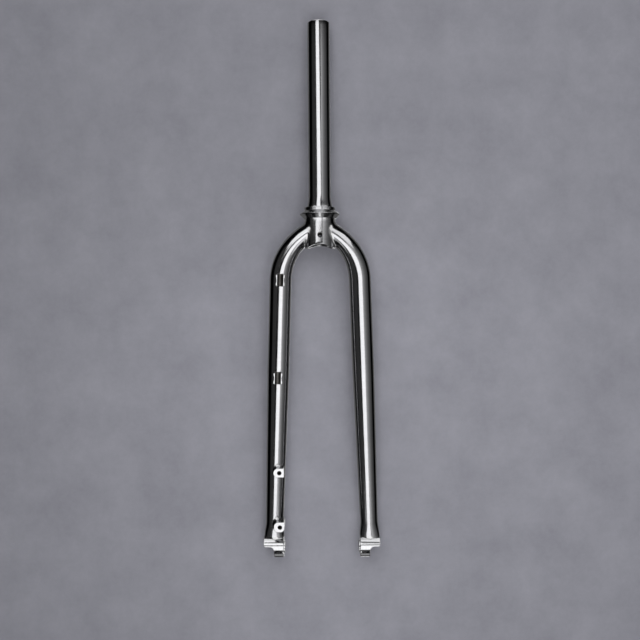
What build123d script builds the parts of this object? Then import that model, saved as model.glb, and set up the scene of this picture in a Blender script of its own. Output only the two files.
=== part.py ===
from build123d import *
import os
from math import asin, atan2, cos, degrees, hypot, radians, sin, tan

# Rigid bicycle fork: a butted steerer, two bent and tapered legs coped to its stub,
# thru-axle dropouts, and posts and hose guides for a disc brake on the left leg.
# Millimetres. The origin is on the steerer's axis at the seat of the crown race,
# +Z runs up the steerer, +Y is forward and +X is to the rider's right.

# Steerer
steerer_od = 28.6
steerer_wall = 1.6
steerer_height = 257.0
steerer_top_chamfer = 0.8
flare_height = 12.0
race_seat_od = 33.0
race_seat_height = 15.0
stub_od = 39.5
stub_wall = 3.2
stub_margin = 2.6
stub_bore_top = 16.0
stub_bore_cone = 9.0
arch_radius = 31.0
arch_rise = 4.2
crown_hole_diameter = 6.0
crown_hole_drop = 22.4
crown_hole_chamfer = 0.7

# Crown race
race_base_od = 41.0
race_rim_od = 52.0
race_rim_height = 0.5
race_pilot_od = 40.0
race_pilot_height = 4.4
race_height = 14.8
race_chamfer = 0.5

# Legs
leg_od = 28.6
leg_crown_width = 25.0
leg_crown_depth = 32.4
leg_tip_od = 23.6
leg_wall = 1.4
leg_top_drop = 5.44
leg_slope = 34.0
leg_bend_radius = 74.0
leg_splay = 2.03
leg_taper_drop = 192.0
tip_length = 20.0
tip_width = 26.6
tip_depth = 17.0

# Axle and dropouts
axle_drop = 438.5
rake = 45.0
axle_setback = 5.0
hub_spacing = 100.0
axle_diameter = 12.0
axle_clearance = 0.1
axle_thread_core = 10.5
barrel_radius = 14.0
barrel_length = 26.6
eye_thickness = 12.8
hub_boss_diameter = 16.4
hub_boss_height = 1.7
relief_above_axle = 2.0
relief_cove_radius = 6.0
relief_edge_radius = 2.5
eye_chamfer = 0.8

# Brake posts, on the left leg
post_spacing = 74.2
lower_post_above_axle = 32.7
post_axis_offset = 56.1
post_face_depth = 24.0
post_root_depth = 2.0
post_inboard = 6.1
post_thread_core = 5.0
post_thread_depth = 11.0
post_thread_chamfer = 0.5
upper_post_outboard = 7.8
upper_post_height = 12.0
lower_post_outboard = 8.0
lower_post_height = 13.6
post_corner_radius = 5.6
post_edge_chamfer = 0.5

# Hose guides, on the left leg
upper_guide_drop = 71.6
lower_guide_drop = 200.9
guide_width = 12.4
guide_length = 16.4
guide_height = 4.4
guide_channel_diameter = 7.6
guide_channel_floor = 0.8
guide_root_depth = 6.0
guide_notch = 1.4
guide_scallop_radius = 12.0
guide_scallop_depth = 0.8

# Filler metal at the joints
crown_bead = 2.4
dropout_bead = 2.2
filler_clearance = 0.02

# Sizes that follow from those above
steerer_radius = steerer_od / 2
steerer_bore_radius = steerer_radius - steerer_wall
stub_radius = stub_od / 2
stub_bore_radius = stub_radius - stub_wall
seat_radius = race_seat_od / 2
leg_radius = leg_od / 2
leg_tip_radius = leg_tip_od / 2
tip_set_back = leg_tip_radius - tip_depth / 2
leg_crown_height = leg_crown_width / cos(radians(leg_slope))
leg_joint_drop = leg_top_drop + leg_crown_height / 2 - stub_radius * tan(radians(leg_slope))
stub_length = leg_top_drop + leg_crown_height + stub_margin
block_inner = hub_spacing / 2 + hub_boss_height
block_middle = block_inner + barrel_length / 2
clear_length = 4 * stub_od

# The legs lie in a plane that leans forward from the steerer and passes ahead of the axle.
# In that plane x is outboard to the right, y is up the leg and z is to the rear.
axle_distance = hypot(rake, axle_drop - leg_joint_drop)
lean = degrees(atan2(rake, axle_drop - leg_joint_drop) + asin(axle_setback / axle_distance))
leg_drop = axle_distance * cos(asin(axle_setback / axle_distance))
leg_plane = Plane(
    origin=(0, 0, -leg_joint_drop),
    x_dir=(1, 0, 0),
    z_dir=(0, -cos(radians(lean)), -sin(radians(lean))),
)

# A leg's centreline: a short straight run from the steerer's axis, a bend and a
# straight run that splays outward and meets the axle at the middle of the dropout.
slope_run = (cos(radians(leg_slope)), -sin(radians(leg_slope)))
splay_run = (sin(radians(leg_splay)), -cos(radians(leg_splay)))
bend_out = leg_bend_radius * (-splay_run[1] + slope_run[1])
bend_down = leg_bend_radius * (slope_run[0] - splay_run[0])
splay_slope = tan(radians(leg_splay))
first_run = (block_middle - bend_out - (leg_drop - bend_down) * splay_slope) / (
    slope_run[0] + slope_run[1] * splay_slope
)
bend_start = (first_run * slope_run[0], first_run * slope_run[1])
bend_end = (bend_start[0] + bend_out, bend_start[1] - bend_down)


def on_leg(drop):
    """The point of the right leg's straight run at this distance below the joint."""
    return (bend_end[0] + (bend_end[1] + drop) * splay_slope, -drop)


def leg_section(drop):
    """The plane square to the right leg's straight run at this distance below the joint."""
    return leg_plane * Plane(
        origin=(*on_leg(drop), 0), x_dir=(0, 0, 1), z_dir=(*splay_run, 0)
    )


tip_drop = leg_drop - barrel_radius - tip_length


def leg_radius_at(drop):
    """The leg's outer radius at this distance below the joint, down to its oval tip."""
    share = max(0, drop - leg_taper_drop) / (tip_drop - leg_taper_drop)
    return leg_radius + (leg_tip_radius - leg_radius) * share


def leg_core(inset):
    """The right leg as a solid rod, with its surface set in by this much."""
    first = Line((0, 0), bend_start)
    bend = JernArc(bend_start, slope_run, leg_bend_radius, leg_slope + leg_splay - 90)
    run = leg_plane * first
    curve = leg_plane * bend
    oval = Ellipse(leg_crown_depth / 2 - inset, leg_crown_width / 2 - inset)
    start = Plane(origin=run @ 0, x_dir=leg_plane.z_dir, z_dir=run % 0)
    bend_plane = Plane(origin=run @ 1, x_dir=leg_plane.z_dir, z_dir=run % 1)
    root = sweep(start * oval, run)
    elbow = sweep(
        [bend_plane * oval, leg_section(-bend_end[1]) * Circle(leg_radius - inset)],
        curve,
        multisection=True,
    )
    from_section = (Align.CENTER, Align.CENTER, Align.MIN)
    straight = leg_section(-bend_end[1]) * Cylinder(
        leg_radius - inset,
        (leg_taper_drop + bend_end[1]) / cos(radians(leg_splay)),
        align=from_section,
    )
    taper = leg_section(leg_taper_drop) * Cone(
        leg_radius - inset,
        leg_tip_radius - inset,
        (tip_drop - leg_taper_drop) / cos(radians(leg_splay)),
        align=from_section,
    )
    squeezed = Pos(tip_set_back, 0) * Ellipse(tip_depth / 2 - inset, tip_width / 2 - inset)
    tip_oval = leg_section(leg_drop - barrel_radius) * squeezed
    tip = loft([leg_section(tip_drop) * Circle(leg_tip_radius - inset), tip_oval])
    foot = extrude(tip_oval, barrel_radius)
    return root + elbow + straight + taper + tip + foot


def barrel(length, extra_radius=0):
    """A round bar on the axle's line, centred on the right dropout."""
    bar = Cylinder(barrel_radius + extra_radius, length, rotation=(0, 90, 0))
    return Pos(block_middle, rake, -axle_drop) * bar


def stub_bar():
    """A bar of the stub's diameter that runs well past both ends of the crown."""
    return Cylinder(stub_radius, clear_length)


def make_steerer():
    section = make_face(
        Polyline(
            (steerer_bore_radius, steerer_height),
            (steerer_radius - steerer_top_chamfer, steerer_height),
            (steerer_radius, steerer_height - steerer_top_chamfer),
            (steerer_radius, race_seat_height + flare_height),
            (seat_radius, race_seat_height),
            (seat_radius, 0),
            (stub_radius, 0),
            (stub_radius, -stub_length),
            (stub_bore_radius, -stub_length),
            (stub_bore_radius, -stub_bore_top),
            (steerer_bore_radius, stub_bore_cone - stub_bore_top),
            close=True,
        )
    )
    tube = revolve(Plane.XZ * section, Axis.Z)
    arch_centre = Pos(0, 0, arch_rise - stub_length - arch_radius)
    tube -= arch_centre * Cylinder(arch_radius, clear_length, rotation=(90, 0, 0))
    hole_centre = Pos(0, 0, -crown_hole_drop)
    hole_radius = crown_hole_diameter / 2
    tube -= hole_centre * Cylinder(hole_radius, clear_length, rotation=(90, 0, 0))
    for turn in (90, -90):
        sink = Cone(
            hole_radius,
            hole_radius + 2 * crown_hole_chamfer,
            2 * crown_hole_chamfer,
            align=(Align.CENTER, Align.CENTER, Align.MIN),
        )
        tube -= hole_centre * Rot(X=turn) * Pos(0, 0, stub_radius - crown_hole_chamfer) * sink
    return tube


def make_crown_race():
    bevel_low = (race_rim_od - race_base_od) / 2
    section = make_face(
        Polyline(
            (seat_radius, 0),
            (race_base_od / 2, 0),
            (race_rim_od / 2, bevel_low),
            (race_rim_od / 2, bevel_low + race_rim_height),
            (race_pilot_od / 2, race_height - race_pilot_height),
            (race_pilot_od / 2, race_height - race_chamfer),
            (race_pilot_od / 2 - race_chamfer, race_height),
            (seat_radius, race_height),
            close=True,
        )
    )
    return revolve(Plane.XZ * section, Axis.Z)


def make_leg():
    """The right leg: a tube coped by the stub above and by the dropout below."""
    tube = leg_core(0) - leg_core(leg_wall)
    return tube - stub_bar() - barrel(clear_length)


def make_crown_weld():
    """The bead of filler metal round the right leg, on the side of the stub."""
    around_leg = leg_core(-crown_bead) - leg_core(-filler_clearance)
    ring = Cylinder(stub_radius + crown_bead, stub_length) - stub_bar()
    return around_leg & (Pos(0, 0, -stub_length / 2) * ring)


def make_dropout_weld():
    """The bead of filler metal round the right leg's tip, on top of its dropout."""
    around_tip = leg_core(-dropout_bead) - leg_core(-filler_clearance)
    on_block = barrel(barrel_length, extra_radius=dropout_bead) - barrel(barrel_length)
    return around_tip & on_block


def make_dropout(bore):
    """The right dropout: a round block, cut away below at its outer end, with a hub face."""
    axle = Pos(block_middle, rake, -axle_drop)
    block = barrel(barrel_length)
    outer_end = barrel_length / 2
    eye_end = eye_thickness - outer_end
    relief = make_face(
        Polyline(
            (eye_end, relief_above_axle),
            (outer_end + barrel_length, relief_above_axle),
            (outer_end + barrel_length, -2 * barrel_radius),
            (eye_end, -2 * barrel_radius),
            close=True,
        )
    )
    corner = relief.vertices().group_by(Axis.Y)[-1].sort_by(Axis.X)[0]
    relief = fillet(corner, relief_cove_radius)
    block -= axle * extrude(Plane.XZ * relief, 2 * barrel_radius, both=True)
    outer_edge = block.edges().filter_by(Axis.Y).sort_by(Axis.X)[-1]
    block = fillet(outer_edge, relief_edge_radius)
    boss = Cylinder(
        hub_boss_diameter / 2,
        hub_boss_height + eye_thickness,
        rotation=(0, 90, 0),
        align=(Align.CENTER, Align.CENTER, Align.MIN),
    )
    inner_face = Pos(hub_spacing / 2, rake, -axle_drop)
    block += inner_face * boss
    block -= inner_face * Cylinder(bore / 2, clear_length, rotation=(0, 90, 0))
    for side, depth in ((-1, 0), (1, hub_boss_height + eye_thickness)):
        sink = Cone(
            bore / 2 + 2 * eye_chamfer,
            bore / 2,
            2 * eye_chamfer,
            align=(Align.CENTER, Align.CENTER, Align.CENTER),
        )
        block -= inner_face * Pos(depth, 0, 0) * Rot(Y=-90 * side) * sink
    return block


def make_post(above_axle, outboard, height, round_heel):
    """A brake post on the left leg: a tapped pad, round outboard and, for one, at its heel."""
    centre = leg_plane * Pos(-post_axis_offset, above_axle - leg_drop, 0)
    pad = Pos((post_inboard - outboard) / 2, 0) * Rectangle(post_inboard + outboard, height)
    round_corners = pad.vertices().group_by(Axis.X)[0]
    if round_heel:
        round_corners += pad.vertices().group_by(Axis.X)[-1].sort_by(Axis.Y)[:1]
    pad = fillet(round_corners, min(post_corner_radius, 0.49 * height))
    post = Pos(0, 0, post_root_depth) * extrude(pad, post_face_depth - post_root_depth)
    post = chamfer(post.faces().sort_by(Axis.Z)[-1].edges(), post_edge_chamfer)
    face = Pos(0, 0, post_face_depth)
    core = Cylinder(
        post_thread_core / 2,
        post_thread_depth,
        align=(Align.CENTER, Align.CENTER, Align.MAX),
    )
    sink = Cone(
        post_thread_core / 2,
        post_thread_core / 2 + post_thread_chamfer,
        post_thread_chamfer,
        align=(Align.CENTER, Align.CENTER, Align.MAX),
    )
    return centre * (post - face * core - face * sink) - mirror(leg_core(0), Plane.YZ)


def make_hose_guide(drop):
    """An open saddle on the rear of the left leg, with a channel for the brake hose."""
    x, y = on_leg(drop)
    crown = leg_radius_at(drop)
    top = crown + guide_height
    seat = leg_plane * Pos(-x, y, 0) * Rot(Z=-leg_splay)
    block = Pos(0, 0, top) * Box(
        guide_width,
        guide_length,
        guide_height + guide_root_depth,
        align=(Align.CENTER, Align.CENTER, Align.MAX),
    )
    channel_radius = guide_channel_diameter / 2
    channel_centre = crown + guide_channel_floor + channel_radius
    channel = Cylinder(channel_radius, 2 * guide_length, rotation=(90, 0, 0))
    mouth = Pos(0, 0, channel_centre) * Box(
        guide_channel_diameter,
        2 * guide_length,
        guide_height,
        align=(Align.CENTER, Align.CENTER, Align.MIN),
    )
    block -= Pos(0, 0, channel_centre) * channel + mouth
    for side in (-1, 1):
        scallop_centre = guide_width / 2 + guide_scallop_radius - guide_scallop_depth
        block -= Pos(side * scallop_centre, 0, top) * Cylinder(guide_scallop_radius, 4 * top)
        for end in (-1, 1):
            corner = Pos(side * guide_width / 2, end * guide_length / 2, top)
            block -= corner * Box(2 * guide_notch, 2 * guide_notch, 2 * guide_height)
    return seat * block - mirror(leg_core(0), Plane.YZ)


def mirrored(part):
    """The same piece for the other side of the bicycle."""
    return mirror(part, Plane.YZ)


leg = make_leg()
crown_weld = make_crown_weld()
dropout_weld = make_dropout_weld()

pieces = {
    "steerer": make_steerer(),
    "crown_race": make_crown_race(),
    "right_leg": leg,
    "left_leg": mirrored(leg),
    "right_crown_weld": crown_weld,
    "left_crown_weld": mirrored(crown_weld),
    "right_dropout": make_dropout(axle_thread_core),
    "left_dropout": mirrored(make_dropout(axle_diameter + axle_clearance)),
    "right_dropout_weld": dropout_weld,
    "left_dropout_weld": mirrored(dropout_weld),
    "upper_brake_post": make_post(
        lower_post_above_axle + post_spacing, upper_post_outboard, upper_post_height, False
    ),
    "lower_brake_post": make_post(
        lower_post_above_axle, lower_post_outboard, lower_post_height, True
    ),
    "upper_hose_guide": make_hose_guide(upper_guide_drop),
    "lower_hose_guide": make_hose_guide(lower_guide_drop),
}

os.makedirs("parts", exist_ok=True)
for name, piece in pieces.items():
    export_step(piece, f"parts/{name}.step")
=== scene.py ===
from math import acos, asin, atan2, cos, hypot, pi, radians, sin, sqrt, tan

import bmesh
import bpy
from mathutils import Matrix, Vector


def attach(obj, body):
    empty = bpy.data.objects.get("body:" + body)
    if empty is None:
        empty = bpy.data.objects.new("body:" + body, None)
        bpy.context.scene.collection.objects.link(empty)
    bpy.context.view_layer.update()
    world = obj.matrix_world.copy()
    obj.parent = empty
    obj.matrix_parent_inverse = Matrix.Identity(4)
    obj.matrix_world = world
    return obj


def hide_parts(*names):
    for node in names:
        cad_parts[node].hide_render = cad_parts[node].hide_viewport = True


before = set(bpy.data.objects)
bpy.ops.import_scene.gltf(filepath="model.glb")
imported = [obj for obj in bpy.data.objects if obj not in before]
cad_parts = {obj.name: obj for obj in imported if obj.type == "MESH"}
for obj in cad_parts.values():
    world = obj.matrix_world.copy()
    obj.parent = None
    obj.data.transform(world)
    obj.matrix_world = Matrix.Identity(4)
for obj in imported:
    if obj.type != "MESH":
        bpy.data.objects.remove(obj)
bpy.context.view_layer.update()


# Steerer: a steel tube turned from bar. It is thin above, where the stem clamps it, and
# flares to the seat of the crown race. Below the seat it is a thick stub for the legs,
# with a bolt hole through it and an arch at its foot that clears the tyre.
STEERER_RADIUS = 14.3
STEERER_BORE = 12.7
STEERER_TOP = 257.0
SEAT_RADIUS = 16.5
SEAT_TOP = 15.0
FLARE_TOP = 27.0
STUB_RADIUS = 19.75
STUB_BORE = 16.55
STUB_FOOT = -38.195
ARCH_RADIUS = 31.0
ARCH_TOP = -33.995
CROWN_HOLE_RADIUS = 3.0
CROWN_HOLE_Z = -22.4
CROWN_HOLE_SINK = 0.7
CROWN_HOLE_SIDES = 64
WELD_REACH = 5e-6


def eased(corners, steps=5):
    """A profile in (radius, height) through these corners, each eased over its third number."""
    path = []
    for i, (r, z, ease) in enumerate(corners):
        here = Vector((r, z))
        if ease == 0 or i in (0, len(corners) - 1):
            path.append(here)
            continue
        back = Vector(corners[i - 1][:2]) - here
        ahead = Vector(corners[i + 1][:2]) - here
        start = here + back.normalized() * min(ease, back.length * 0.49)
        end = here + ahead.normalized() * min(ease, ahead.length * 0.49)
        for k in range(steps + 1):
            t = k / steps
            path.append(start * (1 - t) ** 2 + here * 2 * t * (1 - t) + end * t * t)
    return path


def stepped(path, longest):
    """The same path, with points added so that no step is longer than this."""
    points = [path[0]]
    for a, b in zip(path, path[1:]):
        steps = max(1, int((b - a).length / longest + 0.999))
        points += [a.lerp(b, k / steps) for k in range(1, steps + 1)]
    return points


def skinned(name, rings, loop=False, sharp=34.0):
    """A closed skin over rings of points in millimetres, joined in order."""
    count = len(rings[0])
    spans = len(rings) if loop else len(rings) - 1
    faces = []
    for a in range(spans):
        b = (a + 1) % len(rings)
        for i in range(count):
            j = (i + 1) % count
            faces.append((a * count + i, a * count + j, b * count + j, b * count + i))
    if not loop:
        faces.append(tuple(range(count)))
        faces.append(tuple((len(rings) - 1) * count + i for i in range(count)))
    mesh = bpy.data.meshes.new(name)
    mesh.from_pydata([Vector(p) / 1000 for ring in rings for p in ring], [], faces)
    shape = bmesh.new()
    shape.from_mesh(mesh)
    bmesh.ops.recalc_face_normals(shape, faces=shape.faces)
    shape.to_mesh(mesh)
    shape.free()
    mesh.shade_smooth()
    mesh.set_sharp_from_angle(angle=radians(sharp))
    piece = bpy.data.objects.new(name, mesh)
    bpy.context.scene.collection.objects.link(piece)
    return piece


def cut_away(piece, cutter, sharp=34.0):
    """Cuts the cutter's shape out of the piece, and leaves plain mesh with no sliver faces."""
    cut = piece.modifiers.new("cut", "BOOLEAN")
    cut.operation = "DIFFERENCE"
    cut.solver = "EXACT"
    cut.object = cutter
    shown = piece.evaluated_get(bpy.context.evaluated_depsgraph_get())
    mesh = bpy.data.meshes.new_from_object(shown)
    piece.modifiers.clear()
    piece.data = mesh
    mesh.name = piece.name
    shape = bmesh.new()
    shape.from_mesh(mesh)
    bmesh.ops.remove_doubles(shape, verts=shape.verts, dist=WELD_REACH)
    bmesh.ops.triangulate(shape, faces=[f for f in shape.faces if len(f.verts) > 4])
    bmesh.ops.dissolve_degenerate(shape, edges=shape.edges, dist=WELD_REACH)
    shape.to_mesh(mesh)
    shape.free()
    mesh.set_sharp_from_angle(angle=radians(sharp))
    bpy.data.objects.remove(cutter)


def linear(hex_colour):
    """The linear colour of an sRGB hex value."""
    parts = [int(hex_colour[i : i + 2], 16) / 255 for i in (1, 3, 5)]
    return [c / 12.92 if c <= 0.04045 else ((c + 0.055) / 1.055) ** 2.4 for c in parts] + [1]


def add(tree, kind, inputs=None, **settings):
    """Adds a node to a tree, with its settings, and with values or links on its inputs."""
    made = tree.nodes.new(kind)
    for name, value in settings.items():
        setattr(made, name, value)
    for socket, value in (inputs or {}).items():
        if isinstance(value, bpy.types.NodeSocket):
            tree.links.new(value, made.inputs[socket])
        else:
            made.inputs[socket].default_value = value
    return made


def satin_steel(name, pale, deep, scratch_mm, run_mm, lean, roughness, spread, relief_mm):
    """Bare steel, rubbed down with abrasive: grey and bright, with fine parallel scratches.

    Scratches repeat every scratch_mm up the piece and run run_mm across it. Handling leaves
    soft, duller clouds a few centimetres wide, which show as a slight change of gloss.
    """
    made = bpy.data.materials.new(name)
    made.use_nodes = True
    tree = made.node_tree
    tree.nodes.clear()
    place = add(tree, "ShaderNodeTexCoord")
    along = add(
        tree,
        "ShaderNodeMapping",
        {"Vector": place.outputs["Object"], "Rotation": lean},
    )
    stretch = (1000 / run_mm, 1000 / run_mm, 1000 / scratch_mm)
    scratches = add(
        tree,
        "ShaderNodeMapping",
        {"Vector": along.outputs["Vector"], "Scale": stretch},
    )
    rubbed = add(
        tree,
        "ShaderNodeTexNoise",
        {"Vector": scratches.outputs["Vector"], "Scale": 1.0, "Detail": 3.0, "Roughness": 0.6},
    )
    clouds = add(
        tree,
        "ShaderNodeTexNoise",
        {"Vector": place.outputs["Object"], "Scale": 1000 / 35, "Detail": 2.0},
    )
    both = add(
        tree,
        "ShaderNodeMix",
        {"Factor": 0.4, "A": rubbed.outputs["Fac"], "B": clouds.outputs["Fac"]},
        data_type="FLOAT",
    )
    gloss = add(
        tree,
        "ShaderNodeMapRange",
        {
            "Value": both.outputs["Result"],
            "From Min": 0.3,
            "From Max": 0.7,
            "To Min": roughness - spread,
            "To Max": roughness + spread,
        },
    )
    tone = add(tree, "ShaderNodeValToRGB", {"Fac": both.outputs["Result"]})
    tone.color_ramp.elements[0].position = 0.3
    tone.color_ramp.elements[0].color = linear(deep)
    tone.color_ramp.elements[1].position = 0.7
    tone.color_ramp.elements[1].color = linear(pale)
    relief = add(
        tree,
        "ShaderNodeBump",
        {"Height": rubbed.outputs["Fac"], "Strength": 0.25, "Distance": relief_mm / 1000},
    )
    steel = add(
        tree,
        "ShaderNodeBsdfPrincipled",
        {
            "Base Color": tone.outputs["Color"],
            "Metallic": 1.0,
            "Roughness": gloss.outputs["Result"],
            "Anisotropic": 0.3,
            "Anisotropic Rotation": 0.25,
            "Normal": relief.outputs["Normal"],
        },
    )
    add(tree, "ShaderNodeOutputMaterial", {"Surface": steel.outputs["BSDF"]})
    return made


def fitted(piece, material, node, inner=None, is_inner=None):
    """Gives a piece its finish, and lets it stand for its CAD node on the fork's one body.

    Faces whose middle, in millimetres, passes the test have the inner finish instead, which here is
    always painted shade.
    """
    piece.data.materials.clear()
    piece.data.materials.append(material)
    if inner:
        piece.data.materials.append(inner)
        for face in piece.data.polygons:
            face.material_index = int(is_inner(face.center * 1000))
    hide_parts(node)
    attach(piece, "root")


# The tube was rubbed down round its girth with a strip of cloth, so its scratches go round
# and its highlights are crisp from side to side. Real scratches are near 0.05 mm apart,
# and are drawn at 0.6 mm so that they show.
STEERER_STEEL = satin_steel(
    "steel_rubbed_round", "#C9C9CB", "#B9B9BC", 0.6, 40, (0, 0, 0), 0.15, 0.03, 0.004
)
# Bores and holes get a dull, dark brown-grey finish, which is painted shade for the dark inside
# them.
BORE_PAINTED_SHADE = satin_steel(
    "steel_bore_painted_shade", "#5A5754", "#3E3B39", 0.8, 6, (0, 0, 0), 0.5, 0.08, 0.02
)
TUBE_SIDES = 256
ARCH_START = -25.0
BORE_FINISH_LOW = -31.0

steerer_profile = stepped(
    eased(
        [
            (STUB_RADIUS - 1.5, STUB_FOOT, 0),
            (STUB_RADIUS, STUB_FOOT, 0.35),
            (STUB_RADIUS, 0, 0.3),
            (SEAT_RADIUS, 0, 0),
            (SEAT_RADIUS, SEAT_TOP, 2.0),
            (STEERER_RADIUS, FLARE_TOP, 5.0),
            (STEERER_RADIUS, STEERER_TOP - 0.8, 0.3),
            (STEERER_RADIUS - 0.8, STEERER_TOP, 0.25),
            (STEERER_BORE, STEERER_TOP, 0.25),
            (STEERER_BORE, -7.0, 2.0),
            (STUB_BORE, -16.0, 2.0),
            (STUB_BORE, STUB_FOOT, 0.35),
            (STUB_BORE + 0.9, STUB_FOOT, 0),
        ]
    ),
    5.0,
)


def steerer_point(r, z, turn):
    """A point of the steerer, with what is below the bolt hole drawn up to the arch."""
    x = r * cos(turn)
    if z < ARCH_START:
        arch = ARCH_TOP - ARCH_RADIUS + sqrt(ARCH_RADIUS**2 - x * x)
        foot = max(STUB_FOOT, arch)
        z = ARCH_START + (z - ARCH_START) * (foot - ARCH_START) / (STUB_FOOT - ARCH_START)
    return (x, r * sin(turn), z)


def round_steps(count):
    """This many even steps round a full turn."""
    return [2 * pi * i / count for i in range(count)]


turns = round_steps(TUBE_SIDES)
steerer = skinned(
    "steerer_tube", [[steerer_point(r, z, t) for t in turns] for r, z in steerer_profile], loop=True
)
bolt_hole = [
    (CROWN_HOLE_RADIUS + 2 * CROWN_HOLE_SINK, -2 * STUB_RADIUS),
    (CROWN_HOLE_RADIUS + 2 * CROWN_HOLE_SINK, -STUB_RADIUS - CROWN_HOLE_SINK),
    (CROWN_HOLE_RADIUS, -STUB_RADIUS + CROWN_HOLE_SINK),
    (CROWN_HOLE_RADIUS, STUB_RADIUS - CROWN_HOLE_SINK),
    (CROWN_HOLE_RADIUS + 2 * CROWN_HOLE_SINK, STUB_RADIUS + CROWN_HOLE_SINK),
    (CROWN_HOLE_RADIUS + 2 * CROWN_HOLE_SINK, 2 * STUB_RADIUS),
]
hole_turns = round_steps(CROWN_HOLE_SIDES)
hole_rings = [
    [(r * cos(t), y, CROWN_HOLE_Z + r * sin(t)) for t in hole_turns] for r, y in bolt_hole
]
cut_away(steerer, skinned("bolt_hole", hole_rings))


def in_steerer_bore(p):
    """Whether a spot is on the tube's bore above the short length that the arch shows, where
    painted shade goes.
    """
    depth = hypot(p.x, p.y)
    return depth < STUB_RADIUS - 0.5 and BORE_FINISH_LOW < p.z < 0 or depth < STEERER_BORE + 0.1


# The bore above the arch is given painted shade.
fitted(steerer, STEERER_STEEL, "steerer", BORE_PAINTED_SHADE, in_steerer_bore)


# Crown race: a ring turned from steel and pressed onto the steerer's seat. Its cone carries
# the lower headset bearing, and the collar above it centres the bearing.
RACE_BASE = 20.5
RACE_RIM = 26.0
RACE_RIM_LOW = 5.5
RACE_RIM_HIGH = 6.0
RACE_PILOT = 20.0
RACE_PILOT_LOW = 10.4
RACE_TOP = 14.8

# Turning leaves a very fine spiral, drawn here at 0.5 mm, and a bright, even gloss.
RACE_STEEL = satin_steel(
    "steel_fine_turned", "#C0C0C2", "#AFAFB2", 0.5, 60, (0, 0, 0), 0.18, 0.03, 0.006
)
race_profile = stepped(
    eased(
        [
            (SEAT_RADIUS + 0.02, 0.4, 0),
            (SEAT_RADIUS + 0.4, 0.02, 0),
            (RACE_BASE, 0.02, 0.3),
            (RACE_RIM, RACE_RIM_LOW, 0.25),
            (RACE_RIM, RACE_RIM_HIGH, 0.2),
            (RACE_PILOT, RACE_PILOT_LOW, 0.5),
            (RACE_PILOT, RACE_TOP - 0.5, 0.3),
            (RACE_PILOT - 0.5, RACE_TOP, 0.2),
            (SEAT_RADIUS + 0.4, RACE_TOP, 0.2),
            (SEAT_RADIUS + 0.02, RACE_TOP - 0.4, 0),
        ]
    ),
    2.0,
)
crown_race = skinned(
    "crown_race_ring",
    [[(r * cos(t), r * sin(t), z) for t in turns] for r, z in race_profile],
    loop=True,
)
fitted(crown_race, RACE_STEEL, "crown_race")


# Legs: two drawn steel tubes, bent at the top, squeezed oval where they are mitred to the
# stub, tapered over their lower half and flattened at the tip over the dropout.
LEG_RADIUS = 14.3
LEG_CROWN_HALF_WIDTH = 12.5
LEG_CROWN_HALF_DEPTH = 16.2
LEG_TIP_RADIUS = 11.8
LEG_WALL = 1.4
LEG_TOP_DROP = 5.44
LEG_SLOPE = radians(34)
LEG_BEND_RADIUS = 74.0
LEG_SPLAY = radians(2.03)
LEG_TAPER_DROP = 192.0
TIP_LENGTH = 20.0
TIP_HALF_WIDTH = 13.3
TIP_HALF_DEPTH = 8.5
AXLE_Z = -438.5
RAKE = 45.0
AXLE_SETBACK = 5.0
BLOCK_INNER = 51.7
BLOCK_LENGTH = 26.6
BARREL_RADIUS = 14.0

joint_drop = LEG_TOP_DROP + LEG_CROWN_HALF_WIDTH / cos(LEG_SLOPE) - STUB_RADIUS * tan(LEG_SLOPE)
axle_distance = hypot(RAKE, -AXLE_Z - joint_drop)
leg_lean = atan2(RAKE, -AXLE_Z - joint_drop) + asin(AXLE_SETBACK / axle_distance)
leg_drop = axle_distance * cos(asin(AXLE_SETBACK / axle_distance))
leg_up = Vector((0, -sin(leg_lean), cos(leg_lean)))
leg_rear = Vector((0, -cos(leg_lean), -sin(leg_lean)))
leg_root = Vector((0, 0, -joint_drop))
block_middle = BLOCK_INNER + BLOCK_LENGTH / 2
slope_way = Vector((cos(LEG_SLOPE), -sin(LEG_SLOPE)))
splay_way = Vector((sin(LEG_SPLAY), -cos(LEG_SPLAY)))
bend_angle = pi / 2 - LEG_SPLAY - LEG_SLOPE
bend_out = LEG_BEND_RADIUS * (slope_way.y - splay_way.y)
bend_down = LEG_BEND_RADIUS * (slope_way.x - splay_way.x)
first_run = (block_middle - bend_out - (leg_drop - bend_down) * tan(LEG_SPLAY)) / (
    slope_way.x + slope_way.y * tan(LEG_SPLAY)
)
bend_start = slope_way * first_run
bend_centre = bend_start + LEG_BEND_RADIUS * Vector((slope_way.y, -slope_way.x))
bend_end = bend_start + Vector((bend_out, -bend_down))
bend_length = LEG_BEND_RADIUS * bend_angle
straight_length = (leg_drop + bend_end.y) / cos(LEG_SPLAY)
leg_length = first_run + bend_length + straight_length
taper_start = leg_length - (leg_drop - LEG_TAPER_DROP) / cos(LEG_SPLAY)
tip_end = leg_length - BARREL_RADIUS / cos(LEG_SPLAY)
tip_start = tip_end - TIP_LENGTH / cos(LEG_SPLAY)


def smooth(t):
    """An even ease from 0 to 1."""
    t = min(1, max(0, t))
    return t * t * (3 - 2 * t)


def leg_line(s):
    """The right leg's centre and its way outboard, in the legs' plane, this far along it."""
    if s < first_run:
        way = slope_way
        centre = slope_way * s
    elif s < first_run + bend_length:
        a = (s - first_run) / LEG_BEND_RADIUS + LEG_SLOPE
        way = Vector((cos(a), -sin(a)))
        centre = bend_centre + LEG_BEND_RADIUS * Vector((sin(a), cos(a)))
    else:
        way = splay_way
        centre = bend_end + splay_way * (s - first_run - bend_length)
    return centre, Vector((-way.y, way.x))


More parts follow.
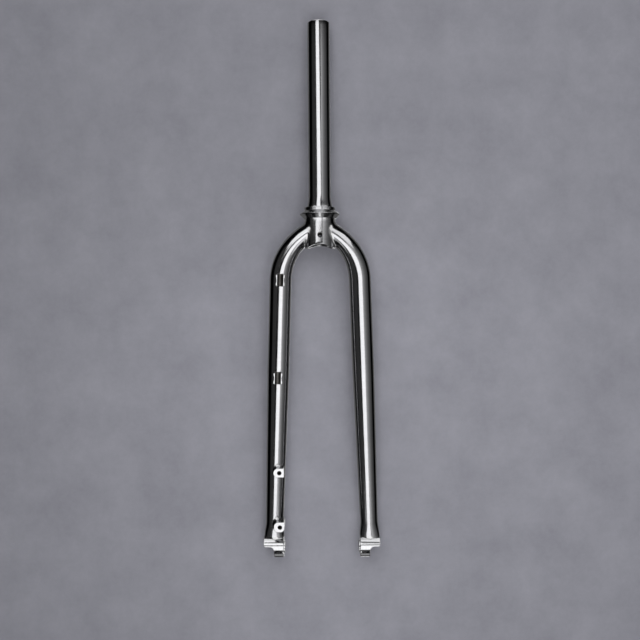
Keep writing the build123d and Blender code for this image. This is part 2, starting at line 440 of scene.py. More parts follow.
def leg_halves(s):
    """The leg's half width, half depth and how far back its middle is, this far along it.

    The tip is squeezed from the front, so that the leg's rear line runs straight on.
    """
    if s < first_run + bend_length:
        t = smooth((s - first_run) / bend_length)
        width = LEG_CROWN_HALF_WIDTH + (LEG_RADIUS - LEG_CROWN_HALF_WIDTH) * t
        depth = LEG_CROWN_HALF_DEPTH + (LEG_RADIUS - LEG_CROWN_HALF_DEPTH) * t
        return width, depth, 0
    taper = min(1, max(0, (s - taper_start) / (tip_start - taper_start)))
    radius = LEG_RADIUS + (LEG_TIP_RADIUS - LEG_RADIUS) * taper
    t = smooth((s - tip_start) / (tip_end - tip_start))
    depth = radius + (TIP_HALF_DEPTH - radius) * t
    return radius + (TIP_HALF_WIDTH - radius) * t, depth, radius - depth


def in_leg_plane(x, up, rear):
    """A point of the fork from its place in the plane of the legs."""
    return leg_root + Vector((x, 0, 0)) + leg_up * up + leg_rear * rear


def leg_point(s, turn, inset=0.0):
    """A point of the right leg's skin, this far along it and this far round it from the rear."""
    centre, outboard = leg_line(s)
    width, depth, back = leg_halves(s)
    across = outboard * ((width - inset) * sin(turn))
    rear = back + (depth - inset) * cos(turn)
    return in_leg_plane(centre.x + across.x, centre.y + across.y, rear)


def crossing(start, end, test):
    """The place between start and end where the test turns from false to true."""
    for _ in range(40):
        middle = (start + end) / 2
        start, end = (start, middle) if test(middle) else (middle, end)
    return (start + end) / 2


def outside_stub(s, turn, inset, radius):
    """Whether the leg's skin is clear of the stub this far along."""
    point = leg_point(s, turn, inset)
    return hypot(point.x, point.y) > radius


def inside_barrel(s, turn, inset, radius):
    """Whether the leg's skin is within the dropout's barrel this far along."""
    point = leg_point(s, turn, inset)
    return hypot(point.y - RAKE, point.z - AXLE_Z) < radius


def mitre_start(turn, inset, radius):
    """Where the leg's skin comes out of the stub, along the leg."""
    return crossing(0, 60, lambda s: outside_stub(s, turn, inset, radius))


def mitre_end(turn, inset, radius):
    """Where the leg's skin goes into the dropout's barrel, along the leg."""
    top = leg_length - 2 * BARREL_RADIUS
    return crossing(top, leg_length, lambda s: inside_barrel(s, turn, inset, radius))


LEG_SIDES = 144
MITRE_ROWS = 10
BEND_ROW = 2.5
LEG_BED = 0.15

# The legs' scratches go round the tube as well, so their grain leans and splays with them.
LEG_STEEL = satin_steel(
    "steel_tube_rubbed_round",
    "#C9C9CB",
    "#B9B9BC",
    0.6,
    40,
    (-leg_lean, 0, 0),
    0.15,
    0.03,
    0.004,
)
leg_turns = round_steps(LEG_SIDES)


def leg_rows(inset, longest):
    """Rings of the right leg's skin, from its mitre at the stub to its mitre at the dropout."""
    starts = [mitre_start(t, inset, STUB_RADIUS - LEG_BED) for t in leg_turns]
    ends = [mitre_end(t, inset, BARREL_RADIUS - LEG_BED) for t in leg_turns]
    first = max(starts) + 1
    last = min(ends) - 1
    marks = [first, first_run + bend_length, taper_start, tip_start, last]
    marks = sorted(m for m in marks if first <= m <= last)
    stations = []
    for a, b in zip(marks, marks[1:]):
        gap = BEND_ROW if b <= first_run + bend_length or a >= tip_start else longest
        steps = max(1, round((b - a) / gap))
        stations += [a + (b - a) * k / steps for k in range(steps)]
    stations.append(last)
    rows = []
    for k in range(MITRE_ROWS):
        t = k / MITRE_ROWS
        rows.append([s + (first - s) * t for s in starts])
    rows += [[s] * LEG_SIDES for s in stations]
    for k in range(1, MITRE_ROWS + 1):
        t = k / MITRE_ROWS
        rows.append([last + (s - last) * t for s in ends])
    return [[leg_point(s, turn, inset) for s, turn in zip(row, leg_turns)] for row in rows]


def mirrored(rings, side):
    """The same rings for the side of the bicycle that this sign gives, +1 for the right."""
    return [[(side * p[0], p[1], p[2]) for p in ring] for ring in rings]


leg_skin = leg_rows(0, 6.0) + leg_rows(LEG_WALL, 12.0)[::-1]
for side, word in ((1, "right"), (-1, "left")):
    leg = skinned(word + "_leg_tube", mirrored(leg_skin, side), loop=True)
    fitted(leg, LEG_STEEL, word + "_leg")


# Crown fillets: the welds between legs and stub, filed to a smooth hollow curve that runs
# out onto both tubes. Under the legs they run out longer, as a web.
CROWN_LEG_TOE = 4.0
CROWN_WEB = 6.5
CROWN_STUB_TOE = 4.2
FILLET_ROWS = 10
FILLET_BED = 0.05
FILLET_SIDES = 192
TURN_STEP = 0.01
fillet_turns = round_steps(FILLET_SIDES)

# Filing leaves short scratches in every direction and a duller gloss than the tubes have.
FILLER_STEEL = satin_steel(
    "weld_steel_filed", "#C4C4C5", "#B2B2B3", 1.2, 2.5, (0.6, 0.3, 0), 0.18, 0.04, 0.006
)


def hollow_ring(toe_a, corner, toe_b, bed):
    """A fillet's section: a hollow curve from toe to toe, closed behind through its bed."""
    ring = []
    for k in range(FILLET_ROWS + 1):
        t = k / FILLET_ROWS
        ring.append(toe_a * (1 - t) ** 2 + corner * 2 * t * (1 - t) + toe_b * t * t)
    ring.append(bed)
    return ring


def crown_corner(turn):
    """Where the right leg's skin meets the stub, at this angle round the leg."""
    return leg_point(mitre_start(turn, 0, STUB_RADIUS), turn)


def crown_ring(turn):
    """The crown fillet's section at this angle round the right leg."""
    s = mitre_start(turn, 0, STUB_RADIUS)
    corner = leg_point(s, turn)
    out = Vector((corner.x, corner.y, 0)).normalized()
    along = crown_corner(turn + TURN_STEP) - crown_corner(turn - TURN_STEP)
    centre, _ = leg_line(s)
    away = along.cross(out).normalized()
    if away.dot(corner - in_leg_plane(centre.x, centre.y, 0)) < 0:
        away = -away
    toe = corner + away * CROWN_STUB_TOE
    toe.z = min(-0.3, max(STUB_FOOT + 0.5, toe.z))
    flat = Vector((toe.x, toe.y, 0)).normalized() * (STUB_RADIUS - FILLET_BED)
    toe = Vector((flat.x, flat.y, toe.z))
    under = (1 - sin(turn)) / 2
    leg_toe = leg_point(s + CROWN_LEG_TOE + CROWN_WEB * under * under, turn, FILLET_BED)
    bed = leg_point(s + 0.4, turn, 0.5) - out * 0.6
    return hollow_ring(leg_toe, corner, toe, bed)


crown_rings = [crown_ring(t) for t in fillet_turns]
for side, word in ((1, "right"), (-1, "left")):
    weld = skinned(word + "_crown_fillet", mirrored(crown_rings, side), loop=True, sharp=50)
    fitted(weld, FILLER_STEEL, word + "_crown_weld")


# Dropouts: round steel blocks on the axle's line, milled away below at their outer ends,
# with a raised face for the hub. The left eye is bored for the axle and the right is tapped.
EYE_THICKNESS = 12.8
BOSS_RADIUS = 8.2
BOSS_HEIGHT = 1.7
RELIEF_ABOVE_AXLE = 2.0
COVE_RADIUS = 6.0
RELIEF_EDGE = 2.5
BLOCK_EDGE = 0.35
AXLE_BORE = 6.05
THREAD_CORE = 5.25
THREAD_MAJOR = 6.0
THREAD_PITCH = 1.5
EYE_SINK = 0.8
EYE_SIDES = 96
ARC_POINTS = 96
EDGE_POINTS = 5
FLOOR_POINTS = 28
COVE_LOW = RELIEF_ABOVE_AXLE - COVE_RADIUS

# Milled and then polished, so the blocks are the brightest and smoothest metal here.
FITTING_STEEL = satin_steel(
    "steel_milled_polished", "#CFCFD1", "#C2C2C4", 0.8, 12, (0, pi / 2, 0), 0.17, 0.03, 0.003
)


def block_outline(radius, floor, low_radius):
    """The block's section in (forward, up) from the axle, cut off level at its floor."""
    count = 2 * EDGE_POINTS + FLOOR_POINTS
    if floor is None:
        low = asin(COVE_LOW / BARREL_RADIUS)
        tops = [low + (pi - 2 * low) * k / (ARC_POINTS - 1) for k in range(ARC_POINTS)]
        points = [(radius * cos(a), radius * sin(a)) for a in tops]
        for k in range(1, count + 1):
            a = pi - low + (pi + 2 * low) * k / (count + 1)
            points.append((low_radius * cos(a), low_radius * sin(a)))
        return points
    lift = floor + BLOCK_EDGE
    reach = sqrt((radius - BLOCK_EDGE) ** 2 - lift * lift)
    low = atan2(lift, reach)
    tops = [low + (pi - 2 * low) * k / (ARC_POINTS - 1) for k in range(ARC_POINTS)]
    points = [(radius * cos(a), radius * sin(a)) for a in tops]
    bends = [(low + pi / 2) * k / EDGE_POINTS for k in range(1, EDGE_POINTS + 1)]
    for turn in bends:
        a = pi - low + turn
        points.append((-reach + BLOCK_EDGE * cos(a), lift + BLOCK_EDGE * sin(a)))
    for k in range(1, FLOOR_POINTS + 1):
        points.append((-reach + 2 * reach * k / (FLOOR_POINTS + 1), floor))
    for turn in bends:
        a = -pi / 2 + turn - bends[0]
        points.append((reach + BLOCK_EDGE * cos(a), lift + BLOCK_EDGE * sin(a)))
    return points


def edge_rise(distance, edge):
    """How far a rounded edge lies below its face, at this distance from the end."""
    short = max(0, edge - distance)
    return edge - sqrt(edge * edge - short * short)


def block_ring(x, floor, low_cut=0.0):
    """The right dropout's ring at this distance outboard of its inner face."""
    end = min(x, BLOCK_LENGTH - x)
    radius = BARREL_RADIUS - edge_rise(end, BLOCK_EDGE)
    outline = block_outline(radius, floor, radius - low_cut)
    return [(BLOCK_INNER + x, RAKE + y, AXLE_Z + z) for y, z in outline]


def boss_ring(x, radius):
    """A ring of the hub face, with its points in line with the block's."""
    spread = [atan2(z, y) for y, z in block_outline(BARREL_RADIUS, None, BARREL_RADIUS)]
    return [(BLOCK_INNER + x, RAKE + radius * cos(a), AXLE_Z + radius * sin(a)) for a in spread]


edge_steps = [BLOCK_EDGE * (1 - cos(pi / 2 * k / 4)) for k in range(5)]
block_rings = [
    boss_ring(-BOSS_HEIGHT, BOSS_RADIUS - 1.0),
    boss_ring(-BOSS_HEIGHT, BOSS_RADIUS - 0.25),
    boss_ring(-BOSS_HEIGHT + 0.07, BOSS_RADIUS - 0.07),
    boss_ring(-BOSS_HEIGHT + 0.25, BOSS_RADIUS),
    boss_ring(-0.2, BOSS_RADIUS),
    boss_ring(-0.06, BOSS_RADIUS + 0.06),
    boss_ring(0, BOSS_RADIUS + 0.2),
    boss_ring(0, 0.5 * (BOSS_RADIUS + BARREL_RADIUS)),
]
block_rings += [block_ring(x, None) for x in edge_steps]
for x in (2.0, 4.0, 6.0, 8.0, 10.0, EYE_THICKNESS - BLOCK_EDGE):
    block_rings.append(block_ring(x, None))
for x in edge_steps[3::-1]:
    cut = edge_rise(x, BLOCK_EDGE)
    block_rings.append(block_ring(EYE_THICKNESS - x, None, cut))
for k in range(13):
    a = pi / 2 * k / 12
    x = EYE_THICKNESS + COVE_RADIUS * (1 - cos(a))
    block_rings.append(block_ring(x, COVE_LOW + COVE_RADIUS * sin(a)))
relief_end = BLOCK_LENGTH - RELIEF_EDGE
for x in (20.5, 22.3):
    block_rings.append(block_ring(x, RELIEF_ABOVE_AXLE))
for k in range(9):
    a = pi / 2 * k / 8
    x = relief_end + RELIEF_EDGE * sin(a)
    block_rings.append(block_ring(x, RELIEF_ABOVE_AXLE + RELIEF_EDGE * (1 - cos(a))))


def thread_rise(turns):
    """The depth of a thread's groove after this many turns, from 0 at its crest to 1."""
    return 1 - abs(2 * (turns % 1) - 1)


def axle_cutter(side, bore, tapped):
    """The tool that bores an eye from end to end, with its sunk mouths and any thread."""
    inner = -BOSS_HEIGHT
    mouth = bore + EYE_SINK
    marks = [(-20.0, mouth), (inner - EYE_SINK, mouth), (inner + EYE_SINK, bore)]
    marks += [(EYE_THICKNESS - EYE_SINK, bore), (EYE_THICKNESS + EYE_SINK, mouth)]
    marks += [(EYE_THICKNESS + EYE_SINK + 0.01, bore), (2 * BLOCK_LENGTH, bore)]
    if tapped:
        rows = round((EYE_THICKNESS - inner - 2 * EYE_SINK) / THREAD_PITCH * 8)
        start, end = marks[2][0], marks[3][0]
        marks[3:3] = [(start + (end - start) * k / rows, bore) for k in range(1, rows)]
    rings = []
    for x, radius in marks:
        ring = []
        for i, a in enumerate(round_steps(EYE_SIDES)):
            r = radius
            if tapped and inner + EYE_SINK < x < EYE_THICKNESS - EYE_SINK:
                r += (THREAD_MAJOR - THREAD_CORE) * thread_rise(x / THREAD_PITCH - i / EYE_SIDES)
            ring.append((side * (BLOCK_INNER + x), RAKE + r * cos(a), AXLE_Z + r * sin(a)))
        rings.append(ring)
    return skinned("axle_cutter", rings, sharp=20)


def in_axle_bore(p):
    """Whether a spot is on the wall of an axle eye, which is given painted shade."""
    return hypot(p.y - RAKE, p.z - AXLE_Z) < AXLE_BORE + 0.02


for side, word, bore, tapped in ((1, "right", THREAD_CORE, True), (-1, "left", AXLE_BORE, False)):
    dropout = skinned(word + "_dropout_block", mirrored(block_rings, side))
    cut_away(dropout, axle_cutter(side, bore, tapped), sharp=30)
    fitted(dropout, FITTING_STEEL, word + "_dropout", BORE_PAINTED_SHADE, in_axle_bore)


# Dropout fillets: the welds round the legs' tips, filed to the same hollow curve.
TIP_LEG_TOE = 4.4
TIP_BLOCK_TOE = 1.8


def tip_corner(turn):
    """Where the right leg's skin meets the dropout, at this angle round the leg."""
    return leg_point(mitre_end(turn, 0, BARREL_RADIUS), turn)


def tip_ring(turn):
    """The dropout fillet's section at this angle round the right leg's tip."""
    s = mitre_end(turn, 0, BARREL_RADIUS)
    corner = leg_point(s, turn)
    out = Vector((0, corner.y - RAKE, corner.z - AXLE_Z)).normalized()
    along = tip_corner(turn + TURN_STEP) - tip_corner(turn - TURN_STEP)
    centre, _ = leg_line(s)
    away = along.cross(out).normalized()
    if away.dot(corner - in_leg_plane(centre.x, centre.y, 0)) < 0:
        away = -away
    toe = corner + away * TIP_BLOCK_TOE
    room = BLOCK_LENGTH / 2 - 0.2
    x = min(block_middle + room, max(block_middle - room, toe.x))
    arm = Vector((0, toe.y - RAKE, toe.z - AXLE_Z)).normalized() * (BARREL_RADIUS - FILLET_BED)
    toe = Vector((x, RAKE + arm.y, AXLE_Z + arm.z))
    leg_toe = leg_point(s - TIP_LEG_TOE, turn, FILLET_BED)
    bed = leg_point(s - 0.4, turn, 0.5) - out * 0.6
    return hollow_ring(leg_toe, corner, toe, bed)


tip_rings = [tip_ring(t) for t in fillet_turns]
for side, word in ((1, "right"), (-1, "left")):
    weld = skinned(word + "_dropout_fillet", mirrored(tip_rings, side), loop=True, sharp=50)
    fitted(weld, FILLER_STEEL, word + "_dropout_weld")


# Brake posts: two milled steel pads, tapped for the brake's bolts and brazed onto the left
# leg with a small hollow fillet. They are round outboard, and the lower one also at its heel.
POST_AXIS = 56.1
POST_FACE = 24.0
POST_ROOT = 2.0
POST_INBOARD = 6.1
POST_ROUND = 5.6
POST_CORNER = 0.8
POST_EDGE = 0.3
POST_BED = 0.12
POST_CORE = 2.5
POST_MAJOR = 3.0
POST_PITCH = 1.0
POST_DEPTH = 11.0
POST_SINK = 0.5
LOWER_POST_RISE = 32.7
POST_SPACING = 74.2
POST_HOLE_SIDES = 64
CORNER_POINTS = 13
UPPER_BRAZE = 2.8
LOWER_BRAZE = 4.4


def pad_outline(up, outboard, height, heel, inset):
    """A post's outline in the legs' plane, set in by this much."""
    low = up - height / 2
    high = up + height / 2
    left = -POST_AXIS - outboard
    right = -POST_AXIS + POST_INBOARD
    corners = [(right, low, heel), (right, high, POST_CORNER)]
    corners += [(left, high, POST_ROUND), (left, low, POST_ROUND)]
    ring = []
    for i, (x, y, radius) in enumerate(corners):
        x += radius if x == left else -radius
        y += radius if y == low else -radius
        for k in range(CORNER_POINTS):
            a = pi / 2 * (i - 1 + k / (CORNER_POINTS - 1))
            r = radius - inset
            ring.append(Vector((x + r * cos(a), y + r * sin(a))))
    return ring


def leg_skin_at(x, up):
    """How far across the left leg this spot of the legs' plane is, and the skin's depth there."""
    s = leg_length - (leg_drop + up) / cos(LEG_SPLAY)
    centre, _ = leg_line(s)
    width, depth, back = leg_halves(s)
    across = min(0.98, max(-0.98, (-x - centre.x) / width))
    return across, back + depth * sqrt(1 - across * across)


def braze_ring(spot, out, braze):
    """The braze fillet's section at this spot of a post's outline, run out at the leg's sides."""
    across, rear = leg_skin_at(*spot)
    size = braze * min(1, max(0.02, (0.9 - abs(across)) / 0.2))
    toe = spot + out * size
    bed = spot - out * 0.5
    return hollow_ring(
        in_leg_plane(*(spot - out * FILLET_BED), rear + size),
        in_leg_plane(*spot, rear),
        in_leg_plane(*toe, leg_skin_at(*toe)[1] - FILLET_BED),
        in_leg_plane(*bed, rear - 0.5),
    )


def braze_rings(outline, braze):
    """The sections, all round a post, of a braze fillet of this size."""
    path = stepped(outline + outline[:1], 0.7)[:-1]
    rings = []
    for i, spot in enumerate(path):
        along = (path[(i + 1) % len(path)] - path[i - 1]).normalized()
        rings.append(braze_ring(spot, Vector((along.y, -along.x)), braze))
    return rings


def joined(piece, other):
    """Adds another piece's mesh to a piece."""
    shape = bmesh.new()
    shape.from_mesh(piece.data)
    shape.from_mesh(other.data)
    shape.to_mesh(piece.data)
    shape.free()
    bpy.data.objects.remove(other)


def post_tap(up):
    """The tool that drills, sinks and taps a post's hole."""
    floor = POST_FACE - POST_DEPTH
    top = POST_FACE - POST_SINK
    marks = [(floor - 1.2, 0.4), (floor, POST_CORE)]
    rows = round((top - floor) / POST_PITCH * 8)
    marks += [(floor + (top - floor) * k / rows, POST_CORE) for k in range(1, rows)]
    marks += [(top, POST_CORE), (POST_FACE + POST_SINK, POST_CORE + 2 * POST_SINK)]
    rings = []
    for rear, radius in marks:
        ring = []
        for i, a in enumerate(round_steps(POST_HOLE_SIDES)):
            r = radius
            if floor < rear < top:
                r += (POST_MAJOR - POST_CORE) * thread_rise(rear / POST_PITCH - i / POST_HOLE_SIDES)
            ring.append(in_leg_plane(-POST_AXIS + r * cos(a), up + r * sin(a), rear))
        rings.append(ring)
    return skinned("post_tap", rings, sharp=20)


def leg_plug(up, inset):
    """A length of the left leg as a solid rod, to seat a fitting on its skin."""
    s = leg_length - (leg_drop + up) / cos(LEG_SPLAY)
    stations = [s + k * 3 for k in range(-9, 8)]
    stations = [t for t in stations if t < leg_length]
    rings = [[leg_point(t, turn, inset) for turn in leg_turns] for t in stations]
    return skinned("leg_plug", mirrored(rings, -1))


edge_turns = [pi / 2 * k / 5 for k in range(6)]
for word, rise, outboard, height, heel, braze in (
    ("upper", LOWER_POST_RISE + POST_SPACING, 7.8, 12.0, POST_CORNER, UPPER_BRAZE),
    ("lower", LOWER_POST_RISE, 8.0, 13.6, POST_ROUND, LOWER_BRAZE),
):
    up = rise - leg_drop
    levels = [(POST_ROOT, 0), (POST_FACE - POST_EDGE - 0.4, 0)]
    levels += [(POST_FACE - POST_EDGE * (1 - sin(a)), POST_EDGE * (1 - cos(a))) for a in edge_turns]
    levels.append((POST_FACE, POST_EDGE + 0.25))
    pad_rings = []
    for rear, inset in levels:
        outline = pad_outline(up, outboard, height, heel, inset)
        pad_rings.append([in_leg_plane(*spot, rear) for spot in outline])
    post = skinned(word + "_post_pad", pad_rings)
    cut_away(post, leg_plug(up, POST_BED))
    cut_away(post, post_tap(up), sharp=30)
    outline = pad_outline(up, outboard, height, heel, 0)
    joined(post, skinned(word + "_post_braze", braze_rings(outline, braze), loop=True, sharp=50))
    axis = in_leg_plane(-POST_AXIS, up, 0)

    def in_post_hole(p):
        """Whether a spot is on the wall of this post's hole, which is given painted shade."""
        arm = p - axis
        rear = arm.dot(leg_rear)
        return (arm - leg_rear * rear).length < POST_MAJOR + 0.05 and rear < POST_FACE - 0.1

    fitted(post, FITTING_STEEL, word + "_brake_post", BORE_PAINTED_SHADE, in_post_hole)


# Hose guides: two small steel saddles brazed onto the rear of the left leg. The hose lies in
# the trough, and a tie passes round the waist and the notched corners to hold it.
GUIDE_HALF_WIDTH = 6.2
GUIDE_HALF_LENGTH = 8.2
GUIDE_HEIGHT = 4.4
GUIDE_TROUGH = 3.8
GUIDE_FLOOR = 0.8
GUIDE_NOTCH = 1.4
GUIDE_WAIST_RADIUS = 12.0
GUIDE_WAIST = 0.8
GUIDE_BED = 0.15
GUIDE_EDGE = 0.75

# The trough gets a dull, dark grey finish, which is painted shade for its hollow.
TROUGH_PAINTED_SHADE = satin_steel(
    "steel_trough_painted_shade", "#6B6967", "#4C4A48", 1.2, 2.5, (0, 0, 0), 0.42, 0.08, 0.03
)


def guide_half_width(v):
    """The saddle's half width at this distance along it from its middle."""
    if abs(v) > GUIDE_HALF_LENGTH - GUIDE_NOTCH:
        return GUIDE_HALF_WIDTH - GUIDE_NOTCH
    bulge = sqrt(GUIDE_WAIST_RADIUS**2 - v * v) - GUIDE_WAIST_RADIUS + GUIDE_WAIST
    return GUIDE_HALF_WIDTH - max(0, bulge)


def guide_section(radius, half, inset):
    """The saddle's section in (across, rear from the leg's middle), on a leg of this radius."""
    top = radius + GUIDE_HEIGHT - inset
    trough = GUIDE_TROUGH + inset
    middle = radius + GUIDE_FLOOR + GUIDE_TROUGH
    half -= inset
    reach = acos(max(-1, (middle - top) / trough))
    turns = [reach * (1 - k / 12) for k in range(25)]
    arc = [(trough * sin(a), middle - trough * cos(a), 0) for a in turns]
    arc[0] = (*arc[0][:2], GUIDE_EDGE)
    arc[-1] = (*arc[-1][:2], GUIDE_EDGE)
    low = sqrt(radius**2 - half**2) - GUIDE_BED
    right_side = [(half, low, 0), (half, top, GUIDE_EDGE)]
    left_side = [(-half, top, GUIDE_EDGE), (-half, low, 0)]
    corners = right_side + arc + left_side
    section = [(p.x, p.y) for p in eased(corners)]
    for k in range(1, 12):
        u = -half + 2 * half * k / 12
        section.append((u, sqrt(radius**2 - u * u) - GUIDE_BED))
    return section


for word, drop in (("upper", 71.6), ("lower", 200.9)):
    s = first_run + bend_length + (drop + bend_end.y) / cos(LEG_SPLAY)
    middle, outboard = leg_line(s)
    radius = leg_halves(s)[0]
    corner = GUIDE_HALF_LENGTH - GUIDE_NOTCH
    stations = [(GUIDE_HALF_LENGTH - k, e) for k, e in ((0, 0.3), (0.1, 0.1), (0.3, 0))]
    stations += [(corner + 0.4, 0), (corner + 0.01, 0), (corner - 0.01, 0), (corner - 0.3, 0)]
    stations += [(corner - 1, 0)] + [(4.4 - 0.4 * k, 0) for k in range(12)]
    stations = [(-v, e) for v, e in stations] + stations[-2::-1]
    rings = []
    for v, inset in stations:
        ring = []
        for u, rear in guide_section(radius, guide_half_width(v), inset):
            spot = middle + outboard * u + splay_way * v
            ring.append(in_leg_plane(-spot.x, spot.y, rear))
        rings.append(ring)
    guide = skinned(word + "_guide_saddle", rings)
    line = in_leg_plane(-middle.x, middle.y, radius + GUIDE_FLOOR + GUIDE_TROUGH)
    way = in_leg_plane(-splay_way.x, splay_way.y, 0) - leg_root

    def in_trough(p):
        """Whether a spot is on the wall of this guide's trough, which is given painted shade."""
        arm = p - line
        return (arm - way * arm.dot(way)).length < GUIDE_TROUGH + 0.3

    fitted(guide, FITTING_STEEL, word + "_hose_guide", TROUGH_PAINTED_SHADE, in_trough)


# Stage: a plain pale wall close behind the fork, a camera facing it, and soft panels in
# a dark room. The room is out of the camera's sight, and gives bare metal its dark parts.
WALL_TILT = radians(3.68)
WALL_GAP = 0.002
WALL_REACH = 4.0
ROOM_REACH = 7.0


def sheet(name, corners, faces, material):
    """A part of the stage, from corners in metres."""
    mesh = bpy.data.meshes.new(name)
    mesh.from_pydata(corners, [], faces)
    mesh.materials.append(material)
    made = bpy.data.objects.new(name, mesh)
    bpy.context.scene.collection.objects.link(made)
    return made


def matt_paint(name, pale, deep, one_way):
    """Flat, faintly mottled paint, which can be left clear from behind."""
    made = bpy.data.materials.new(name)
    made.use_nodes = True
    tree = made.node_tree
    tree.nodes.clear()
    place = add(tree, "ShaderNodeTexCoord")
    mottle = add(
        tree,
        "ShaderNodeTexNoise",
        {"Vector": place.outputs["Object"], "Scale": 12.0, "Detail": 8.0, "Roughness": 0.75},
    )
    wash = add(tree, "ShaderNodeValToRGB", {"Fac": mottle.outputs["Fac"]})
    wash.color_ramp.elements[0].position = 0.25
    wash.color_ramp.elements[0].color = linear(deep)
    wash.color_ramp.elements[1].position = 0.75
    wash.color_ramp.elements[1].color = linear(pale)
    surface = add(tree, "ShaderNodeBsdfDiffuse", {"Color": wash.outputs["Color"]})
    if one_way:
        clear = add(tree, "ShaderNodeBsdfTransparent")
        seen = add(tree, "ShaderNodeNewGeometry")
        surface = add(
            tree,
            "ShaderNodeMixShader",
            {0: seen.outputs["Backfacing"], 1: surface.outputs[0], 2: clear.outputs[0]},
        )
    add(tree, "ShaderNodeOutputMaterial", {"Surface": surface.outputs[0]})
    return made


wall = sheet(
    "wall",
    [(x * WALL_REACH, 0, z * WALL_REACH) for x, z in ((-1, -1), (1, -1), (1, 1), (-1, 1))],
    [(0, 1, 2, 3)],
    matt_paint("wall_paint_matt", "#B6B6C0", "#9C9CA6", True),
)
wall_place = STEERER_RADIUS / 1000 + STEERER_TOP / 1000 * tan(WALL_TILT) + WALL_GAP
wall.location = (0, wall_place, 0)
wall.rotation_euler = (WALL_TILT, 0, 0)
wall.visible_glossy = False

room_corners = [(x, y, z) for x in (-1, 1) for y in (-1, 1) for z in (-1, 1)]
room = sheet(
    "dark_room",
    [Vector(c) * ROOM_REACH for c in room_corners],
    [(0, 1, 3, 2), (4, 5, 7, 6), (0, 1, 5, 4), (2, 3, 7, 6), (0, 2, 6, 4), (1, 3, 7, 5)],
    matt_paint("room_paint_black", "#26262A", "#1E1E22", False),
)
room.visible_camera = False

world = bpy.data.worlds.new("studio")
bpy.context.scene.world = world
world.use_nodes = True
tree = world.node_tree
tree.nodes.clear()
pale = add(tree, "ShaderNodeBackground", {"Color": linear("#9A9AA3"), "Strength": 1.0})
add(tree, "ShaderNodeOutputWorld", {"Surface": pale.outputs["Background"]})


def panel(name, centre, aim, width, height, radiance, tall=(0, 0, 1), glossy=True):
    """A soft studio panel of this size in metres, which faces a point, with its height this way."""
    lamp = bpy.data.lights.new(name, "AREA")
    lamp.shape = "RECTANGLE"
    lamp.size = width
    lamp.size_y = height
    lamp.energy = radiance * pi * width * height
    made = bpy.data.objects.new(name, lamp)
    made.location = centre
    back = (Vector(centre) - Vector(aim)).normalized()
    up = (Vector(tall) - back * back.dot(Vector(tall))).normalized()
    made.rotation_euler = Matrix((up.cross(back), up, back)).transposed().to_euler()
    made.visible_camera = False
    made.visible_glossy = glossy
    bpy.context.scene.collection.objects.link(made)


def from_crown(azimuth, rise, reach):
    """A place seen from the crown at these angles, from straight behind the fork."""
    a = radians(azimuth)
    e = radians(rise)
    return Vector((sin(a) * cos(e), -cos(a) * cos(e), sin(e))) * reach + Vector((0, 0, -0.04))


def pane(name, corners, radiance):
    """A lit pane with these corners in metres, which shows only from the crown's side of it."""
    corners = [Vector(c) for c in corners]
    facing = (corners[1] - corners[0]).cross(corners[2] - corners[1])
    if facing.dot(from_crown(0, 0, 0) - corners[0]) < 0:
        corners.reverse()
    made = bpy.data.materials.new(name)
    made.use_nodes = True
    tree = made.node_tree
    tree.nodes.clear()
    light = add(tree, "ShaderNodeEmission", {"Strength": radiance})
    clear = add(tree, "ShaderNodeBsdfTransparent")
    seen = add(tree, "ShaderNodeNewGeometry")
    both = add(
        tree,
        "ShaderNodeMixShader",
        {0: seen.outputs["Backfacing"], 1: light.outputs[0], 2: clear.outputs[0]},
    )
    add(tree, "ShaderNodeOutputMaterial", {"Surface": both.outputs[0]})
    sheet(name, corners, [tuple(range(len(corners)))], made).visible_camera = False


WING_FOOT = 0.0266
WING_RISE = 0.14


def wing(middle, outline):
    """Corners of a pane that rises outward from the steerer, from their azimuths and reaches."""
    corners = []
    for azimuth, reach in outline:
        out = reach * cos(radians(azimuth - middle))
        spot = from_crown(azimuth, 0, reach)
        corners.append((spot.x, spot.y, WING_FOOT + WING_RISE * out))
    return corners


# The key is a tall window on the camera's side, crossed by a leaning dark bar. It lays a
# bright strip on each tube, and the bar shows as a thin dark line in the bends.
KEY_PLANE = -0.95
KEY_RADIANCE = 1.7
key_high = (
    (-0.572, 0.66),
    (0.003, 0.66),
    (0.27, 0.11),
    (-0.25, 0.03),
    (-0.6, -0.03),
    (-0.58, 0.12),
    (-0.4, 0.19),
)
key_low = ((-0.19, -0.16), (0.2, -0.1), (0.5, -0.08), (0.256, -1.0), (-0.45, -1.0))
for corners in (key_high, key_low):
    pane("key_pane", [(x, KEY_PLANE, z) for x, z in corners], KEY_RADIANCE)

# Two wings near the crown show mostly in the tops of the bends. Each is an outline of
# azimuths in degrees and reaches in metres.
left_wing = (
    (-22, 0.1),
    (-48, 0.075),
    (-58, 0.1),
    (-57, 0.21),
    (-52, 0.35),
    (-46, 0.54),
    (-40, 0.95),
    (-22, 0.95),
)
right_wing = (
    (20, 0.1),
    (48, 0.075),
    (74, 0.09),
    (74, 0.15),
    (65, 0.18),
    (56, 0.26),
    (46, 0.54),
    (40, 0.95),
    (20, 0.95),
)
pane("wing_pane", wing(-42, left_wing), 1.5)
pane("wing_pane", wing(46, right_wing), 1.3)

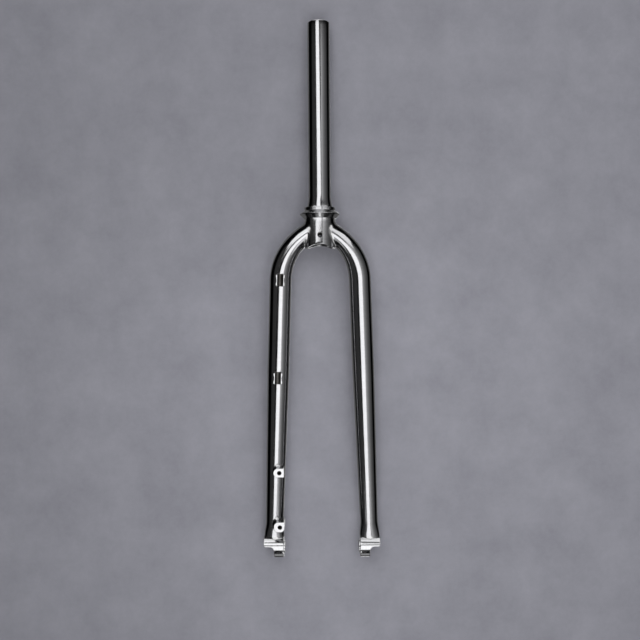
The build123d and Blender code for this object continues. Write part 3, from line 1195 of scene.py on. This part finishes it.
# Cards below and above show in the round dropouts, the bends and the race's bevels.
panel("low_card", (0.8, -0.95, -1.5), (0, 0, -0.05), 0.75, 0.9, 0.9)
panel("low_card", (-0.75, -0.95, -1.3), (0, 0, -0.05), 0.5, 0.6, 0.6)
panel("top_panel", (0, -0.175, 1.2), (0, -0.175, 0), 1.0, 1.31, 1.2, tall=(0, 1, 0))
panel("floor_card", (0, 0.19, -1.8), (0, 0.19, 0), 0.9, 0.95, 0.35, tall=(0, 1, 0))
panel("race_card", (0, -0.11, -0.65), (0, -0.11, 0), 0.09, 0.12, 1.6, tall=(0, 1, 0))

# Cards round the right side fade from the camera outward, so that the tubes turn evenly
# from grey to dark. The left side stays almost black.
SIDE_CARDS = 9
SIDE_CARD_FIRST = 23
SIDE_CARD_TURN = 8
SIDE_CARD_REACH = 1.3
SIDE_CARD_FADE = 0.747
for k in range(SIDE_CARDS):
    azimuth = SIDE_CARD_FIRST + SIDE_CARD_TURN * k
    middle = from_crown(azimuth, 0, SIDE_CARD_REACH) - Vector((0, 0, 0.3))
    width = 2 * SIDE_CARD_REACH * tan(radians(SIDE_CARD_TURN / 2))
    panel("side_card", middle, (0, 0, -0.34), width, 2.0, 0.62 * SIDE_CARD_FADE**k)
panel("left_card", from_crown(-56, -13, 1.3), (0, 0, -0.34), 1.0, 2.0, 0.04)

# Panels beyond the fork light its front, which the photograph doesn't show, and give its
# edges a faint rim. The last panel lights the wall and isn't reflected in the metal.
panel("front_strip", (0, 2.0, 2.6), (0, 0, -0.2), 0.32, 3.2, 1.0)
panel("front_panel", (0.13, 1.5, 0), (0.13, 0, 0), 0.17, 3.0, 1.6)
panel("back_glow", (0, 1.6, 0), (0, 0, 0), 4.0, 4.0, 0.15)
panel("wall_fill", (0, -3.0, 0.8), (0, 0, -0.1), 3.0, 3.0, 0.95, glossy=False)

# The camera stands behind the fork, below the crown, with the photograph's focal length.
PICTURE = 640
FOCAL_PIXELS = 970
camera_data = bpy.data.cameras.new("camera")
camera_data.sensor_width = 36.0
camera_data.lens = 36.0 * FOCAL_PIXELS / PICTURE
camera_data.shift_x = -0.6 / PICTURE
camera_data.shift_y = 9.0 / PICTURE
camera = bpy.data.objects.new("camera", camera_data)
camera.location = (0, -1.270, -0.144)
camera.rotation_euler = (pi / 2, radians(0.40), 0)
bpy.context.scene.collection.objects.link(camera)
bpy.context.scene.camera = camera

bpy.context.scene.view_settings.view_transform = "Standard"
